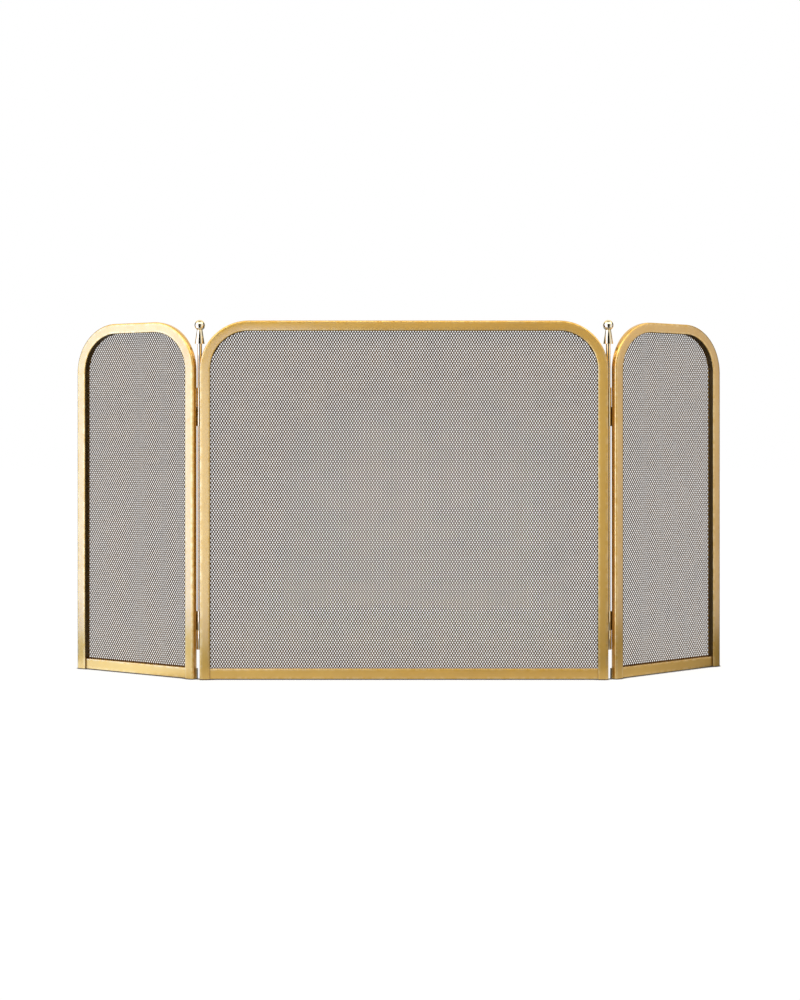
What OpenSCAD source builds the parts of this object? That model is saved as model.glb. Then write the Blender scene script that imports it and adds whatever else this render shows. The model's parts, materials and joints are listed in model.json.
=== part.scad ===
/* [Panels] */
// Height of the arched frames above the hearth
screen_height = 762; // [600:1:900]
// Width of the centre panel
centre_width = 867; // [600:1:1100]
// Width of each wing panel
wing_width = 316; // [240:1:420]
// Outer radius of the frames' top corners
corner_radius = 105; // [70:1:115]
// Angle by which the left wing is folded back from flat
left_fold = 28; // [0:0.5:60]
// Angle by which the right wing is folded back from flat
right_fold = 34.5; // [0:0.5:60]

/* [Frame tube] */
// Width of the frame tube as seen from the front
tube_face = 22; // [20:0.5:30]
// Depth of the frame tube from front to back
tube_depth = 14; // [12:0.5:22]
// Wall thickness of the frame tube and of the bottom rail
tube_wall = 1.2; // [0.8:0.1:1.6]
// Radius of the frame tube's long edges
tube_edge = 2; // [1.8:0.1:3]

/* [Bottom rail] */
// Height of the bottom rail
rail_height = 21.5; // [19:0.5:30]
// How far the rail's front lies behind the uprights' front
rail_recess = 4.5; // [2:0.5:6]
// Radius of the bottom rail's long edges
rail_edge = 1.8; // [1.7:0.1:2.5]

/* [Net] */
// Thickness of the wire net
net_thickness = 1.6; // [1:0.1:2.5]
// Least distance between the net's crossings, along a row
net_pitch_across = 62; // [60:1:100]
// Least distance between the net's crossings, up a column
net_pitch_up = 100; // [98:1:150]
// Width of one strand of the net
net_strand = 4.5; // [2:0.5:8]
// How far the net laps over the frame around the window
net_lap = 8.5; // [7.5:0.5:10]
// Thickness of the strip that clamps the net's border
strip_thickness = 1.5; // [1:0.1:2.5]
// Free edge left between the strip and each border of its lap
strip_margin = 0.5; // [0.3:0.1:1]
// Greatest distance between two screws of a net strip
strip_screw_spacing = 150; // [90:5:220]
// Distance from a corner or a bend to the next screw of a strip
strip_screw_margin = 12; // [8:1:20]

/* [Screws] */
// Shank diameter of the net strip screws
strip_screw_shank = 2.9; // [2.2:0.1:3.5]
// Head diameter of the net strip screws
strip_screw_head = 5.6; // [4.8:0.1:6.5]
// Shank diameter of the hinge screws
hinge_screw_shank = 3.5; // [2.9:0.1:4.2]
// Head diameter of the hinge screws
hinge_screw_head = 6.4; // [5.6:0.1:7.2]
// Height of every screw head
screw_head_height = 1.8; // [1.2:0.1:2.2]
// Radial clearance of a screw in its hole
screw_clearance = 0.05; // [0.03:0.01:0.2]
// How far a screw's tip stands inside the tube's wall
screw_reach = 2; // [1:0.5:4]
// Height of the upright rim of a screw head
screw_rim = 0.5; // [0.3:0.1:0.8]
// Width of the slot in a screw head
screw_slot = 0.9; // [0.6:0.1:1.2]
// Depth of the slot in a screw head
screw_slot_depth = 0.8; // [0.5:0.1:1]

/* [Hinges] */
// Diameter of the lift-out hinge rods
rod_diameter = 10; // [8:0.5:12]
// Radial clearance of a rod in its knuckles
rod_clearance = 0.06; // [0.03:0.01:0.1]
// Wall of a hinge knuckle around its rod
knuckle_wall = 1.95; // [1.5:0.05:2.5]
// Height of one hinge knuckle
knuckle_height = 40.5; // [30:0.5:60]
// Distance from a frame's edge to the hinge axis
hinge_offset = 2; // [1.5:0.1:3]
// Gap between a knuckle and the back of the panel that turns past it
fold_clearance = 0.5; // [0.4:0.1:1.5]
// Thickness of a hinge leaf
leaf_thickness = 2; // [1.5:0.1:2.4]
// Gap between a hinge leaf's edge and the net
leaf_gap = 1; // [0.6:0.1:2]
// Height of the upper hinge's joint above the hearth
upper_hinge_height = 579; // [450:1:600]
// Height of the lower hinge's joint above the hearth
lower_hinge_height = 103; // [90:1:160]
// Thickness of the washer between two knuckles
washer_thickness = 0.8; // [0.5:0.1:1.2]
// Clearance above and below a washer
washer_clearance = 0.1; // [0.05:0.05:0.3]
// Radial clearance of a washer on its rod
washer_bore_clearance = 0.2; // [0.1:0.05:0.4]
// Chamfer at a rod's lower end
rod_chamfer = 1; // [0.5:0.1:2]
// Thickness of the closed bottom that carries a rod
rod_seat = 3; // [2:0.5:6]

/* [Finials] */
// Diameter of the ball on a rod
ball_diameter = 23; // [18:0.5:30]
// Height of the ball's centre above the hearth
ball_height = 753; // [700:1:860]
// Width of the flat under the ball
ball_seat_diameter = 10; // [8:0.5:12]
// Height of the flared skirt under the ball
skirt_height = 29.5; // [20:0.5:45]
// Width of the skirt at its foot
skirt_foot_diameter = 21.5; // [16:0.5:26]
// Width of the skirt at its neck
skirt_neck_diameter = 12.5; // [10:0.5:14]
// Height of the skirt's upright rim
skirt_rim = 1.2; // [0.5:0.1:2.5]
// Diameter of the stud that holds skirt and ball on the rod
stud_diameter = 6; // [4:0.5:7]
// Radial clearance of the stud in the skirt and the ball
stud_clearance = 0.05; // [0.03:0.01:0.1]
// How deep the stud enters the ball
stud_depth = 9; // [5:0.5:12]

/* [Glides] */
// Thickness of the rubber under each upright
glide_thickness = 1.5; // [1:0.1:3]
// Height of the plug that holds a glide in its tube
plug_height = 12; // [6:0.5:20]
// Clearance of the plug in its tube
plug_clearance = 0.2; // [0.1:0.05:0.4]
// How far the glide's bumper stands behind the frame
bumper_depth = 4; // [2:0.5:5]
// Height of the bumper above the hearth
bumper_height = 22; // [10:0.5:30]
// Distance of the bumper and the glide's foot from the tube's edges
glide_inset = 0.6; // [0.3:0.1:1.5]

/* [Hidden] */
curve_steps = 96;
small_curve_steps = 48;
// Overrun of a cutting shape past the face that it opens
overrun = 1;
// Least radius of a profile's edge, inside a tube or on a plug
least_edge = 0.2;
bright_brass = [0.86, 0.72, 0.42];
satin_brass = [0.80, 0.64, 0.34];
net_metal = [0.42, 0.38, 0.34];
black_rubber = [0.10, 0.09, 0.08];

// Heights of the frames' lower ends and of the rail's top
foot_line = glide_thickness;
rail_top = foot_line + rail_height;
rail_depth = tube_depth - rail_recess;

// Insets from a panel's outline to the borders of its net and of its strip
net_inset = tube_face - net_lap;
strip_outer_inset = net_inset + strip_margin;
strip_inner_inset = tube_face - strip_margin;
strip_line_inset = (strip_outer_inset + strip_inner_inset) / 2;
net_bottom = rail_top - net_lap;
strip_bottom_line = rail_top - net_lap / 2;
strip_back = tube_depth + net_thickness + strip_thickness;

// Hinge axes, in the coordinates of a centre panel that stands over x = 0
knuckle_radius = rod_diameter / 2 + rod_clearance + knuckle_wall;
hinge_back = knuckle_radius + fold_clearance;
hinge_x = centre_width / 2 + hinge_offset;
hinge_y = tube_depth + hinge_back;
leaf_width = net_inset - leaf_gap;
leaf_screw_line = (knuckle_radius + hinge_offset + leaf_width) / 2;
leaf_screw_rise = knuckle_height / 4;
joint_half_gap = washer_thickness / 2 + washer_clearance;
rod_bottom = lower_hinge_height - joint_half_gap - knuckle_height + rod_seat;

// Finial levels along a rod: the ball is cut flat where it sits on the skirt
ball_radius = ball_diameter / 2;
ball_seat = ball_height - sqrt(pow(ball_radius, 2) - pow(ball_seat_diameter / 2, 2));
skirt_bottom = ball_seat - skirt_height;

// Farthest points of the folded wings, which place the origin in the middle of the footprint
function turned_x(along, deep, fold) = along * cos(fold) - deep * sin(fold);
function turned_y(along, deep, fold) = along * sin(fold) + deep * cos(fold);
wing_end = hinge_offset + wing_width;
function reach_across(fold) =
    hinge_x + turned_x(wing_end - tube_edge, tube_edge - hinge_y, fold) + tube_edge;
function reach_back(fold) =
    hinge_y + turned_y(wing_end - glide_inset, tube_depth + bumper_depth - hinge_y, fold);
middle_x = (reach_across(right_fold) - reach_across(left_fold)) / 2;
middle_y = max(reach_back(left_fold), reach_back(right_fold)) / 2;

// Evenly spaced places from one end to the other, no farther apart than the spacing
function places(from, to, spacing) =
    let (count = max(1, ceil((to - from) / spacing)))
    [for (i = [0:count]) from + (to - from) * i / count];

// Screws along a strip: both uprights, the top, the two bends and the bottom
function strip_screw_places(width) =
    let (
        bend_line = corner_radius - strip_line_inset,
        bend_top = screen_height - corner_radius,
        bend_x = corner_radius - bend_line * cos(45),
        top_from = corner_radius + strip_screw_margin,
        bottom_from = tube_face + strip_screw_margin
    )
    concat(
        [for (z = places(rail_top + strip_screw_margin, bend_top, strip_screw_spacing))
            each [[strip_line_inset, z], [width - strip_line_inset, z]]],
        [for (x = places(top_from, width - top_from, strip_screw_spacing))
            [x, screen_height - strip_line_inset]],
        [for (x = [bend_x, width - bend_x]) [x, bend_top + bend_line * sin(45)]],
        [for (x = places(bottom_from, width - bottom_from, strip_screw_spacing)) [x, strip_bottom_line]]
    );

// A hinge has one knuckle above its joint and one below: the centre panel carries the outermost two
above_upper = upper_hinge_height + joint_half_gap;
below_upper = upper_hinge_height - joint_half_gap - knuckle_height;
above_lower = lower_hinge_height + joint_half_gap;
below_lower = lower_hinge_height - joint_half_gap - knuckle_height;
centre_knuckles = [above_upper, below_lower];
wing_knuckles = [below_upper, above_lower];

// Heights of the two screws of each hinge leaf
function hinge_screw_heights(knuckles) =
    [for (foot = knuckles, rise = [-1, 1]) foot + knuckle_height / 2 + rise * leaf_screw_rise];

// Placing: pieces of a panel are drawn with its front on y = 0 and its near edge on x = 0
module to_row() {
    translate([-middle_x, -middle_y, 0]) children();
}

module on_centre() {
    to_row() translate([-centre_width / 2, 0, 0]) children();
}

module at_right_axis() {
    to_row() translate([hinge_x, hinge_y, 0]) children();
}

module at_left_axis() {
    to_row() translate([-hinge_x, hinge_y, 0]) children();
}

module on_right_wing() {
    at_right_axis() rotate([0, 0, right_fold]) translate([hinge_offset, -hinge_y, 0]) children();
}

module on_left_wing() {
    at_left_axis() mirror([1, 0, 0]) rotate([0, 0, left_fold])
        translate([hinge_offset, -hinge_y, 0]) children();
}

// Plate of a flat outline drawn as x and z, from one depth to another
module upright_plate(front, thickness) {
    translate([0, front + thickness, 0]) rotate([90, 0, 0]) linear_extrude(thickness) children();
}

// Cylinder along y from one depth backwards
module cross_hole(x, z, diameter, front, depth) {
    translate([x, front, z]) rotate([-90, 0, 0]) cylinder(d = diameter, h = depth, $fn = small_curve_steps);
}

module rounded_profile(width, depth, edge) {
    square([width - 2 * edge, depth], center = true);
    square([width, depth - 2 * edge], center = true);
    for (x = [-1, 1], y = [-1, 1])
        translate([x * (width / 2 - edge), y * (depth / 2 - edge)]) circle(r = edge, $fn = small_curve_steps);
}

module tube_profile(inset) {
    rounded_profile(tube_face - 2 * inset, tube_depth - 2 * inset, max(tube_edge - inset, least_edge));
}

// Arched outline of a panel, drawn inset from its edge and cut off at the bottom
module panel_outline(width, inset, bottom) {
    bend_top = screen_height - corner_radius;
    translate([inset, bottom]) square([width - 2 * inset, bend_top - bottom]);
    translate([corner_radius, bottom])
        square([width - 2 * corner_radius, screen_height - inset - bottom]);
    for (x = [corner_radius, width - corner_radius])
        translate([x, bend_top]) circle(r = corner_radius - inset, $fn = curve_steps);
}

// Bent arch with the tube's profile: two uprights, two bends and the top
module arch(width, inset, bottom) {
    bend_top = screen_height - corner_radius;
    middle = tube_depth / 2;
    for (x = [tube_face / 2, width - tube_face / 2])
        translate([x, middle, bottom]) linear_extrude(bend_top - bottom) tube_profile(inset);
    translate([corner_radius, middle, screen_height - tube_face / 2])
        rotate([0, 90, 0]) linear_extrude(width - 2 * corner_radius) tube_profile(inset);
    for (bend = [[width - corner_radius, 0], [corner_radius, 90]])
        translate([bend[0], middle, bend_top]) rotate([90, 0, 0]) rotate([0, 0, bend[1]])
            rotate_extrude(angle = 90, $fn = curve_steps)
                translate([corner_radius - tube_face / 2, 0]) tube_profile(inset);
}

module strip_screw_holes(width, front, depth) {
    for (place = strip_screw_places(width))
        cross_hole(place[0], place[1], strip_screw_shank + 2 * screw_clearance, front, depth);
}

// Screw with its head's underside on z = 0 and its shank below
module screw(shank, head, length) {
    translate([0, 0, -length]) cylinder(d = shank, h = length + screw_rim, $fn = small_curve_steps);
    dome = screw_head_height - screw_rim;
    difference() {
        rotate_extrude($fn = small_curve_steps)
            polygon(concat(
                [[0, 0], [head / 2, 0]],
                [for (a = [0:15:75]) [head / 2 * cos(a), screw_rim + dome * sin(a)]],
                [[0, screw_head_height]]
            ));
        translate([-head / 2, -screw_slot / 2, screw_head_height - screw_slot_depth])
            cube([head, screw_slot, screw_head_height]);
    }
}

module strip_screws(width) {
    length = strip_thickness + net_thickness + tube_wall + screw_reach;
    for (place = strip_screw_places(width))
        translate([place[0], strip_back, place[1]]) rotate([-90, 0, 0])
            screw(strip_screw_shank, strip_screw_head, length);
}

// Screws of the leaves whose knuckles stand on the given heights, along a line at x
module hinge_screws(x, knuckles) {
    length = leaf_thickness + tube_wall + screw_reach;
    for (z = hinge_screw_heights(knuckles))
        translate([x, tube_depth + leaf_thickness, z]) rotate([-90, 0, 0])
            screw(hinge_screw_shank, hinge_screw_head, length);
}

// Frame of a panel, drilled for its strip and for the hinge screws along each given line
module frame(width, hinge_lines, knuckles) {
    drill_front = tube_depth - tube_wall - overrun;
    drill_depth = tube_wall + 2 * overrun;
    difference() {
        arch(width, 0, foot_line);
        arch(width, tube_wall, foot_line - overrun);
        strip_screw_holes(width, drill_front, drill_depth);
        for (x = hinge_lines, z = hinge_screw_heights(knuckles))
            cross_hole(x, z, hinge_screw_shank + 2 * screw_clearance, drill_front, drill_depth);
    }
}

module bottom_rail(width) {
    length = width - 2 * tube_face;
    difference() {
        translate([tube_face, rail_recess + rail_depth / 2, foot_line + rail_height / 2])
            rotate([0, 90, 0]) linear_extrude(length) difference() {
                rounded_profile(rail_height, rail_depth, rail_edge);
                rounded_profile(
                    rail_height - 2 * tube_wall, rail_depth - 2 * tube_wall,
                    max(rail_edge - tube_wall, least_edge)
                );
            }
        strip_screw_holes(width, tube_depth - tube_wall - overrun, tube_wall + 2 * overrun);
    }
}

// Diamond gaps of a net, in whole columns and rows across the window
module net_gaps(width) {
    window_width = width - 2 * tube_face;
    window_height = screen_height - tube_face - rail_top;
    columns = floor(window_width / net_pitch_across);
    rows = floor(window_height / net_pitch_up);
    half_x = window_width / columns / 2;
    half_z = window_height / rows / 2;
    open_share = 1 - net_strand / 2 * norm([half_x, half_z]) / (half_x * half_z);
    gap_x = half_x * open_share;
    gap_z = half_z * open_share;
    intersection() {
        panel_outline(width, tube_face, rail_top);
        union() {
            for (column = [0:2 * columns], row = [0:2 * rows])
                if ((column + row) % 2 == 0)
                    translate([tube_face + column * half_x, rail_top + row * half_z])
                        polygon([[gap_x, 0], [0, gap_z], [-gap_x, 0], [0, -gap_z]]);
        }
    }
}

module net(width) {
    difference() {
        upright_plate(tube_depth, net_thickness) difference() {
            panel_outline(width, net_inset, net_bottom);
            net_gaps(width);
        }
        strip_screw_holes(width, tube_depth - overrun, net_thickness + 2 * overrun);
    }
}

module net_strip(width) {
    front = tube_depth + net_thickness;
    difference() {
        upright_plate(front, strip_thickness) difference() {
            panel_outline(width, strip_outer_inset, net_bottom + strip_margin);
            panel_outline(width, strip_inner_inset, rail_top - strip_margin);
        }
        strip_screw_holes(width, front - overrun, strip_thickness + 2 * overrun);
    }
}

// Glide of an upright whose outer edge is on x = 0: a foot, a plug in the tube and a bumper behind it
module glide() {
    translate([glide_inset, glide_inset, 0])
        cube([tube_face - 2 * glide_inset, tube_depth - glide_inset, glide_thickness]);
    translate([glide_inset, tube_depth, 0])
        cube([leaf_width - glide_inset, bumper_depth, bumper_height]);
    translate([tube_face / 2, tube_depth / 2, 0])
        linear_extrude(glide_thickness + plug_height) tube_profile(tube_wall + plug_clearance);
}

// The same glide for the upright at the far side of a panel
module far_glide(width) {
    translate([width, 0, 0]) mirror([1, 0, 0]) glide();
}

// Hinge leaf around an axis on x = 0, y = 0, reaching along +x over the back of its frame
module hinge_leaf(foot, closed) {
    bore_bottom = closed ? foot + rod_seat : foot - overrun;
    difference() {
        union() {
            translate([0, 0, foot]) cylinder(r = knuckle_radius, h = knuckle_height, $fn = curve_steps);
            translate([0, -hinge_back, foot])
                cube([hinge_offset + leaf_width, leaf_thickness, knuckle_height]);
        }
        translate([0, 0, bore_bottom])
            cylinder(
                d = rod_diameter + 2 * rod_clearance, h = knuckle_height + 2 * overrun,
                $fn = curve_steps
            );
        for (z = hinge_screw_heights([foot]))
            cross_hole(
                leaf_screw_line, z, hinge_screw_shank + 2 * screw_clearance,
                -hinge_back - overrun, leaf_thickness + 2 * overrun
            );
    }
}

module washer(joint) {
    translate([0, 0, joint - washer_thickness / 2]) difference() {
        cylinder(r = knuckle_radius, h = washer_thickness, $fn = curve_steps);
        translate([0, 0, -overrun])
            cylinder(
                d = rod_diameter + 2 * washer_bore_clearance, h = washer_thickness + 2 * overrun,
                $fn = curve_steps
            );
    }
}

module hinge_rod() {
    radius = rod_diameter / 2;
    rotate_extrude($fn = curve_steps)
        polygon([
            [0, rod_bottom],
            [radius - rod_chamfer, rod_bottom],
            [radius, rod_bottom + rod_chamfer],
            [radius, skirt_bottom],
            [stud_diameter / 2, skirt_bottom],
            [stud_diameter / 2, ball_seat + stud_depth],
            [0, ball_seat + stud_depth]
        ]);
}

module finial_skirt() {
    bore = stud_diameter / 2 + stud_clearance;
    rotate_extrude($fn = curve_steps)
        polygon([
            [bore, skirt_bottom],
            [skirt_foot_diameter / 2, skirt_bottom],
            [skirt_foot_diameter / 2, skirt_bottom + skirt_rim],
            [skirt_neck_diameter / 2, ball_seat],
            [bore, ball_seat]
        ]);
}

module finial_ball() {
    bore_diameter = stud_diameter + 2 * stud_clearance;
    difference() {
        translate([0, 0, ball_height]) sphere(d = ball_diameter, $fn = curve_steps);
        translate([-ball_radius, -ball_radius, ball_seat - ball_diameter])
            cube([ball_diameter, ball_diameter, ball_diameter]);
        translate([0, 0, ball_seat - overrun])
            cylinder(d = bore_diameter, h = stud_depth + stud_clearance + overrun, $fn = curve_steps);
    }
}

// Lines of the hinge screws on a panel whose hinged edge is on x = 0
near_screw_line = leaf_screw_line - hinge_offset;

module centre_frame() {
    color(satin_brass) on_centre()
        frame(centre_width, [near_screw_line, centre_width - near_screw_line], centre_knuckles);
}

module centre_bottom_rail() {
    color(satin_brass) on_centre() bottom_rail(centre_width);
}

module centre_net() {
    color(net_metal) on_centre() net(centre_width);
}

module centre_net_strip() {
    color(satin_brass) on_centre() net_strip(centre_width);
}

module centre_strip_screws() {
    color(bright_brass) on_centre() strip_screws(centre_width);
}

module centre_left_glide() {
    color(black_rubber) on_centre() glide();
}

module centre_right_glide() {
    color(black_rubber) on_centre() far_glide(centre_width);
}

module centre_left_upper_leaf() {
    color(bright_brass) at_left_axis() hinge_leaf(above_upper, false);
}

module centre_left_lower_leaf() {
    color(bright_brass) at_left_axis() hinge_leaf(below_lower, true);
}

module centre_right_upper_leaf() {
    color(bright_brass) at_right_axis() mirror([1, 0, 0]) hinge_leaf(above_upper, false);
}

module centre_right_lower_leaf() {
    color(bright_brass) at_right_axis() mirror([1, 0, 0]) hinge_leaf(below_lower, true);
}

module centre_hinge_screws() {
    color(bright_brass) on_centre()
        for (x = [near_screw_line, centre_width - near_screw_line]) hinge_screws(x, centre_knuckles);
}

module left_wing_frame() {
    color(satin_brass) on_left_wing() frame(wing_width, [near_screw_line], wing_knuckles);
}

module left_wing_bottom_rail() {
    color(satin_brass) on_left_wing() bottom_rail(wing_width);
}

module left_wing_net() {
    color(net_metal) on_left_wing() net(wing_width);
}

module left_wing_net_strip() {
    color(satin_brass) on_left_wing() net_strip(wing_width);
}

module left_wing_strip_screws() {
    color(bright_brass) on_left_wing() strip_screws(wing_width);
}

module left_wing_inner_glide() {
    color(black_rubber) on_left_wing() glide();
}

module left_wing_outer_glide() {
    color(black_rubber) on_left_wing() far_glide(wing_width);
}

module left_wing_upper_leaf() {
    color(bright_brass) at_left_axis() mirror([1, 0, 0]) rotate([0, 0, left_fold])
        hinge_leaf(below_upper, false);
}

module left_wing_lower_leaf() {
    color(bright_brass) at_left_axis() mirror([1, 0, 0]) rotate([0, 0, left_fold])
        hinge_leaf(above_lower, false);
}

module left_wing_hinge_screws() {
    color(bright_brass) on_left_wing() hinge_screws(near_screw_line, wing_knuckles);
}

module right_wing_frame() {
    color(satin_brass) on_right_wing() frame(wing_width, [near_screw_line], wing_knuckles);
}

module right_wing_bottom_rail() {
    color(satin_brass) on_right_wing() bottom_rail(wing_width);
}

module right_wing_net() {
    color(net_metal) on_right_wing() net(wing_width);
}

module right_wing_net_strip() {
    color(satin_brass) on_right_wing() net_strip(wing_width);
}

module right_wing_strip_screws() {
    color(bright_brass) on_right_wing() strip_screws(wing_width);
}

module right_wing_inner_glide() {
    color(black_rubber) on_right_wing() glide();
}

module right_wing_outer_glide() {
    color(black_rubber) on_right_wing() far_glide(wing_width);
}

module right_wing_upper_leaf() {
    color(bright_brass) at_right_axis() rotate([0, 0, right_fold]) hinge_leaf(below_upper, false);
}

module right_wing_lower_leaf() {
    color(bright_brass) at_right_axis() rotate([0, 0, right_fold]) hinge_leaf(above_lower, false);
}

module right_wing_hinge_screws() {
    color(bright_brass) on_right_wing() hinge_screws(near_screw_line, wing_knuckles);
}

module left_upper_washer() {
    color(bright_brass) at_left_axis() washer(upper_hinge_height);
}

module left_lower_washer() {
    color(bright_brass) at_left_axis() washer(lower_hinge_height);
}

module right_upper_washer() {
    color(bright_brass) at_right_axis() washer(upper_hinge_height);
}

module right_lower_washer() {
    color(bright_brass) at_right_axis() washer(lower_hinge_height);
}

module left_hinge_rod() {
    color(bright_brass) at_left_axis() hinge_rod();
}

module left_finial_skirt() {
    color(bright_brass) at_left_axis() finial_skirt();
}

module left_finial_ball() {
    color(bright_brass) at_left_axis() finial_ball();
}

module right_hinge_rod() {
    color(bright_brass) at_right_axis() hinge_rod();
}

module right_finial_skirt() {
    color(bright_brass) at_right_axis() finial_skirt();
}

module right_finial_ball() {
    color(bright_brass) at_right_axis() finial_ball();
}

centre_frame();
centre_bottom_rail();
centre_net();
centre_net_strip();
centre_strip_screws();
centre_left_glide();
centre_right_glide();
centre_left_upper_leaf();
centre_left_lower_leaf();
centre_right_upper_leaf();
centre_right_lower_leaf();
centre_hinge_screws();
left_wing_frame();
left_wing_bottom_rail();
left_wing_net();
left_wing_net_strip();
left_wing_strip_screws();
left_wing_inner_glide();
left_wing_outer_glide();
left_wing_upper_leaf();
left_wing_lower_leaf();
left_wing_hinge_screws();
right_wing_frame();
right_wing_bottom_rail();
right_wing_net();
right_wing_net_strip();
right_wing_strip_screws();
right_wing_inner_glide();
right_wing_outer_glide();
right_wing_upper_leaf();
right_wing_lower_leaf();
right_wing_hinge_screws();
left_upper_washer();
left_lower_washer();
right_upper_washer();
right_lower_washer();
left_hinge_rod();
left_finial_skirt();
left_finial_ball();
right_hinge_rod();
right_finial_skirt();
right_finial_ball();
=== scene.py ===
import json
import math

import bmesh
import bpy
from mathutils import Matrix, Vector

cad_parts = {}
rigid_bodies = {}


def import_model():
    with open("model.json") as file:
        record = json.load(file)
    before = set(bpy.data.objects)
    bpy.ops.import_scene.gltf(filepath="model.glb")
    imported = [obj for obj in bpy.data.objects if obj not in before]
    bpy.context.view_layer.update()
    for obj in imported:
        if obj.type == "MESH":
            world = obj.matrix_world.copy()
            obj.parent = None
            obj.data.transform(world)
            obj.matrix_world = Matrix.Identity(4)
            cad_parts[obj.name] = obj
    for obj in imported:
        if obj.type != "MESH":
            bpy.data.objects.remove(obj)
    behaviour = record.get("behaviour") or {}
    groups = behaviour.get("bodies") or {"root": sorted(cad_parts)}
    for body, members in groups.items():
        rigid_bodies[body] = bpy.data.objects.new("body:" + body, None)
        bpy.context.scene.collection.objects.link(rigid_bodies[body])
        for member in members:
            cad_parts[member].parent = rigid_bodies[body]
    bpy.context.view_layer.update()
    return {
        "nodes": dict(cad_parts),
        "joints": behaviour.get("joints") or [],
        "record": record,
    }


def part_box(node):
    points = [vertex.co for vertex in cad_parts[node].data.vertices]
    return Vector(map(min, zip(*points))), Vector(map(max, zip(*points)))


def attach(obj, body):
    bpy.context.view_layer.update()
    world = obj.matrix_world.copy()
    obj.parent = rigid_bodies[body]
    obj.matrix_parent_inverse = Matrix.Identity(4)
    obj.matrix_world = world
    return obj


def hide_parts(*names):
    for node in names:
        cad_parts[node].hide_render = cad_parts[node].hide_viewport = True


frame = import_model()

scene = bpy.context.scene


# Small helpers for node trees
def sign(operation, turned=False):
    def reckon(self, other):
        values = (other, self) if turned else (self, other)
        return calc(self.socket.id_data, operation, *values)
    return reckon


# A node's output that can be reckoned with: each sign adds a math node to its tree
class Wire:
    def __init__(self, socket):
        self.socket = socket

    def to(self, target):
        self.socket.id_data.links.new(self.socket, target)

    def __abs__(self):
        return calc(self.socket.id_data, "ABSOLUTE", self)

    __add__, __radd__ = sign("ADD"), sign("ADD", True)
    __sub__, __rsub__ = sign("SUBTRACT"), sign("SUBTRACT", True)
    __mul__, __rmul__ = sign("MULTIPLY"), sign("MULTIPLY", True)
    __truediv__, __rtruediv__ = sign("DIVIDE"), sign("DIVIDE", True)
    __gt__, __lt__ = sign("GREATER_THAN"), sign("LESS_THAN")


def wires(node):
    return {socket.name: Wire(socket) for socket in node.outputs}


# An input's value is its default, or the name of its kind where it needs none
def newTree(name, kind, inputs, outputs):
    kinds = {float: "Float", int: "Int", bool: "Bool", tuple: "Color"}
    tree = bpy.data.node_groups.new(name, kind)
    for label, value in inputs.items():
        bare = isinstance(value, str)
        socketKind = "NodeSocket" + (value if bare else kinds[type(value)])
        socket = tree.interface.new_socket(label, in_out="INPUT", socket_type=socketKind)
        if not bare:
            socket.default_value = value
    for label, socketKind in outputs.items():
        tree.interface.new_socket(label, in_out="OUTPUT", socket_type="NodeSocket" + socketKind)
    return tree, wires(tree.nodes.new("NodeGroupInput")), tree.nodes.new("NodeGroupOutput").inputs


nodeGrid = {"inRow": 9, "across": 210, "down": -280}


def addNode(tree, kind, inputs=None, **settings):
    node = tree.nodes.new(kind)
    row, spot = divmod(len(tree.nodes), nodeGrid["inRow"])
    node.location = (spot * nodeGrid["across"], row * nodeGrid["down"])
    for key, value in settings.items():
        setattr(node, key, value)
    for key, value in (inputs or {}).items():
        if isinstance(value, Wire):
            value.to(node.inputs[key])
        else:
            node.inputs[key].default_value = value
    return node


def geo(tree, kind, inputs=None, **settings):
    return Wire(addNode(tree, "GeometryNode" + kind, inputs, **settings).outputs[0])


def shade(tree, kind, inputs=None, **settings):
    return Wire(addNode(tree, "ShaderNode" + kind, inputs, **settings).outputs[0])


def calc(tree, operation, first, second=0.0):
    return shade(tree, "Math", {0: first, 1: second}, operation=operation)


def larger(first, second):
    return calc(first.socket.id_data, "MAXIMUM", first, second)


def split(tree, place):
    return [Wire(socket) for socket in addNode(tree, "ShaderNodeSeparateXYZ", {0: place}).outputs]


def combine(tree, x, y, z):
    return shade(tree, "CombineXYZ", {0: x, 1: y, 2: z})


def length(tree, x, y):
    node = addNode(tree, "ShaderNodeVectorMath", {0: combine(tree, x, y, 0.0)}, operation="LENGTH")
    return wires(node)["Value"]


def scale(tree, place, size):
    return shade(tree, "VectorMath", {0: place, "Scale": size}, operation="SCALE")


def ramp(tree, value, start, end, low=0.0, high=1.0, kind="LINEAR"):
    return shade(tree, "MapRange", {"Value": value, "From Min": start, "From Max": end, "To Min": low,
                                    "To Max": high}, interpolation_type=kind)


def fade(tree, value, start, end, low=0.0, high=1.0):
    return ramp(tree, value, start, end, low, high, "SMOOTHSTEP")


def lay(below, above, share):
    return (above - below) * share + below


def noise(tree, place, size, detail, roughness=0.5, distortion=0.0):
    return shade(tree, "TexNoise", {"Vector": place, "Scale": size, "Detail": detail, "Roughness": roughness,
                                    "Distortion": distortion})


def mixColor(tree, share, first, second):
    return Wire(addNode(tree, "ShaderNodeMix", {0: share, 6: first, 7: second}, data_type="RGBA").outputs[2])


def placeGroup(tree, group, inputs):
    return wires(addNode(tree, "ShaderNodeGroup", inputs, node_tree=group))


def storeValue(tree, geometry, name, value, kind="FLOAT", domain="POINT"):
    return geo(tree, "StoreNamedAttribute", {"Geometry": geometry, "Name": name, "Value": value},
               data_type=kind, domain=domain)


def readValue(tree, name, kind="FLOAT"):
    return geo(tree, "InputNamedAttribute", {"Name": name}, data_type=kind)


def shift(tree, geometry, x, y, z):
    return geo(tree, "Transform", {"Geometry": geometry, "Translation": combine(tree, x, y, z)})


def join(tree, *shapes):
    node = addNode(tree, "GeometryNodeJoinGeometry")
    for shape in shapes:
        shape.to(node.inputs[0])
    return Wire(node.outputs[0])


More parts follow.
